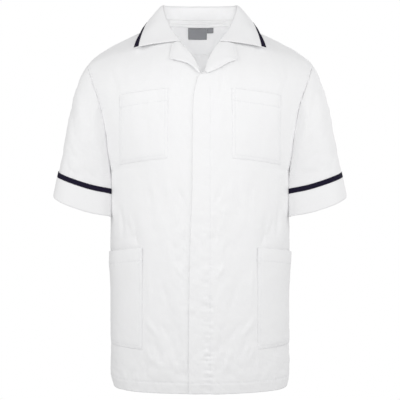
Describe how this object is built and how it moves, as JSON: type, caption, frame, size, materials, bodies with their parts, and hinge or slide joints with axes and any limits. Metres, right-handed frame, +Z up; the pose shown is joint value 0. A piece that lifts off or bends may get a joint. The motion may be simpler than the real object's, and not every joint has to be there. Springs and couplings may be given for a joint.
{
  "type": "short-sleeved work tunic",
  "caption": "White short-sleeved work tunic with a revere collar, fly front, chest and hip pockets, and navy tape on collar and cuffs, filled out as worn.",
  "frame": {"origin": "the middle of the neck opening at shoulder height, where the wearer's neck and shoulders hold the tunic", "axes": "+Z up, -Y out of the tunic's front, +X to the wearer's left"},
  "size_m": [0.613, 0.2854, 0.8032],
  "materials": {
    "white_cloth": "fine twill, matt",
    "navy_tape": "woven tape, matt",
    "neck_tape": "herringbone tape, matt",
    "grey_label": "woven, slight sheen",
    "stud": "satin"
  },
  "bodies": {
    "root": {"back": "white_cloth", "front_left": "white_cloth", "front_right": "white_cloth", "sleeve_left": "white_cloth", "sleeve_right": "white_cloth", "cuff_left": "white_cloth", "cuff_right": "white_cloth", "sleeve_trim_left": "navy_tape", "sleeve_trim_right": "navy_tape", "collar": "white_cloth", "collar_trim": "navy_tape", "lapel_left": "white_cloth", "lapel_right": "white_cloth", "back_facing": "white_cloth", "neck_tape": "neck_tape", "neck_label": "grey_label", "size_tab": "grey_label", "chest_pocket_left": "white_cloth", "chest_pocket_right": "white_cloth", "hip_pocket_left": "white_cloth", "hip_pocket_right": "white_cloth", "stud_1": "stud", "stud_2": "stud", "stud_3": "stud", "stud_4": "stud", "stud_5": "stud", "stud_6": "stud"}
  },
  "joints": []
}
